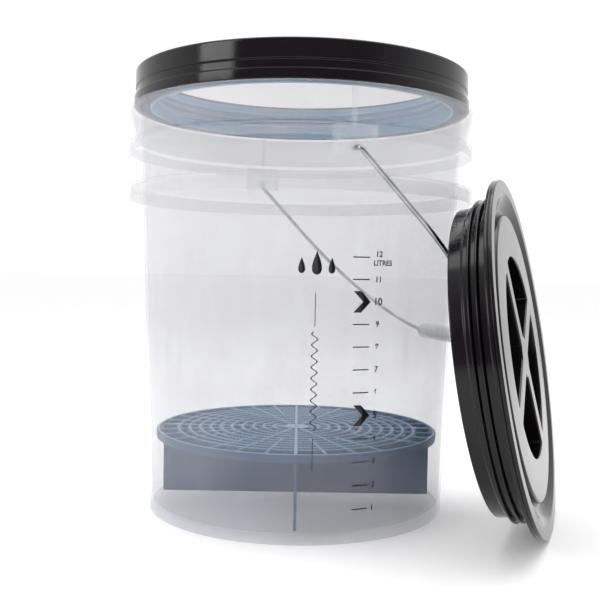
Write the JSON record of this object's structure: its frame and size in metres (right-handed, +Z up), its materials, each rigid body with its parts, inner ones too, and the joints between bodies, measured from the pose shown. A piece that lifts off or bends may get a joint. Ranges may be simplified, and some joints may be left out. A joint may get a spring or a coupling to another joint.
{
  "type": "wash bucket",
  "caption": "Tall ribbed see-through pail with a black screw-mouth ring, a wire bail, a blue lift-out grit guard and a black screw-in lid leaning beside it.",
  "frame": {"origin": "centre of the foot ring, on the pail's axis, at floor level", "axes": "+Z up along the pail's axis, -Y the front, +X towards the leaning lid"},
  "size_m": [0.3984, 0.3889, 0.385],
  "materials": {
    "pail_plastic": "milky see-through polypropylene, satin",
    "black_plastic": "glossy black moulded plastic",
    "seal_rubber": "dark grey rubber",
    "bail_steel": "bright zinc-plated wire",
    "grip_plastic": "white moulded plastic",
    "guard_plastic": "blue moulded plastic, satin"
  },
  "bodies": {
    "pail": {"pail_shell": "pail_plastic", "mouth_ring": "black_plastic", "ring_gasket": "seal_rubber"},
    "bail": {"bail_wire": "bail_steel"},
    "grip": {"bail_grip": "grip_plastic"},
    "guard": {"grit_guard": "guard_plastic"},
    "lid": {"lid_shell": "black_plastic", "lid_seal": "seal_rubber"}
  },
  "joints": [
    {"name": "bail_swing", "type": "hinge", "parent": "pail", "child": "bail", "pos_m": [0, 0, 0.3044], "axis": [0.2756, -0.9613, 0], "range_deg": [0, 271.98]},
    {"name": "grip_spin", "type": "hinge", "parent": "bail", "child": "grip", "pos_m": [0.13905, 0.03987, 0.1546], "axis": [0.2756, -0.9613, 0], "continuous": true},
    {"name": "guard_lift", "type": "slide", "parent": "pail", "child": "guard", "axis": [0, 0, 1], "range_m": [0, 0.39]},
    {"name": "lid_tip", "type": "hinge", "parent": "pail", "child": "lid", "pos_m": [0.21032, -0.09177, 0.00095], "axis": [0.3584, 0.9336, 0], "range_deg": [0, 99.1]}
  ],
  "couplings": [
    {"joint": "lid_tip", "follows": "bail_swing", "ratio": 0.36433}
  ]
}
